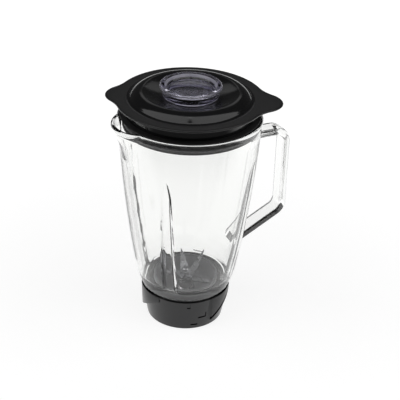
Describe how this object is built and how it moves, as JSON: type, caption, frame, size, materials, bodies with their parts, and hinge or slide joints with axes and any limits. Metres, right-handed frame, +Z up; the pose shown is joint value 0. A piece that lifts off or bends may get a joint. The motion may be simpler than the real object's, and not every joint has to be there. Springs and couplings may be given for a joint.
{
  "type": "countertop blender",
  "caption": "Glass blender jug assembly with strap handle, pouring lip, black lid, clear measuring cap, twist-lock base collar and bladed knife unit on a driven shaft.",
  "frame": {"origin": "centre of the collar's flat bottom ring, on the surface that the jug stands on", "axes": "+Z up along the jug and knife axis, +X towards the handle, -X towards the pouring lip"},
  "size_m": [0.2045, 0.156, 0.276],
  "materials": {
    "jug_glass": "clear glass",
    "lid_black": "satin flange, polished crown",
    "seal_rubber": "matt",
    "cap_clear": "clear, faint violet edge",
    "collar_black": "satin",
    "carrier_grey": "matt",
    "steel": "ground",
    "bush_bronze": "plain",
    "coupling_black": "matt"
  },
  "bodies": {
    "jug": {"glass_jug": "jug_glass", "glass_handle": "jug_glass", "knife_carrier": "carrier_grey", "jug_seal": "seal_rubber", "bearing_housing": "steel", "upper_bush": "bush_bronze", "lower_bush": "bush_bronze", "shaft_seal": "seal_rubber"},
    "lid": {"lid_shell": "lid_black", "lid_seal": "seal_rubber"},
    "cap": {"measuring_cap": "cap_clear"},
    "collar": {"base_collar": "collar_black"},
    "knife": {"knife_shaft": "steel", "knife_hub": "steel", "lower_blade": "steel", "middle_blade": "steel", "upper_blade": "steel", "knife_washer": "steel", "dome_nut": "steel", "thrust_washer": "steel", "retaining_ring": "steel", "drive_coupling": "coupling_black", "coupling_insert": "bush_bronze"}
  },
  "joints": [
    {"name": "lid_lift", "type": "slide", "parent": "jug", "child": "lid", "axis": [0, 0, 1], "range_m": [0, 0.045]},
    {"name": "cap_lift", "type": "slide", "parent": "lid", "child": "cap", "axis": [0, 0, 1], "range_m": [0, 0.045]},
    {"name": "collar_turn", "type": "hinge", "parent": "jug", "child": "collar", "pos_m": [0, 0, 0], "axis": [0, 0, -1], "range_deg": [0, 45]},
    {"name": "knife_spin", "type": "hinge", "parent": "jug", "child": "knife", "pos_m": [0, 0, 0.05], "axis": [0, 0, 1], "continuous": true}
  ]
}
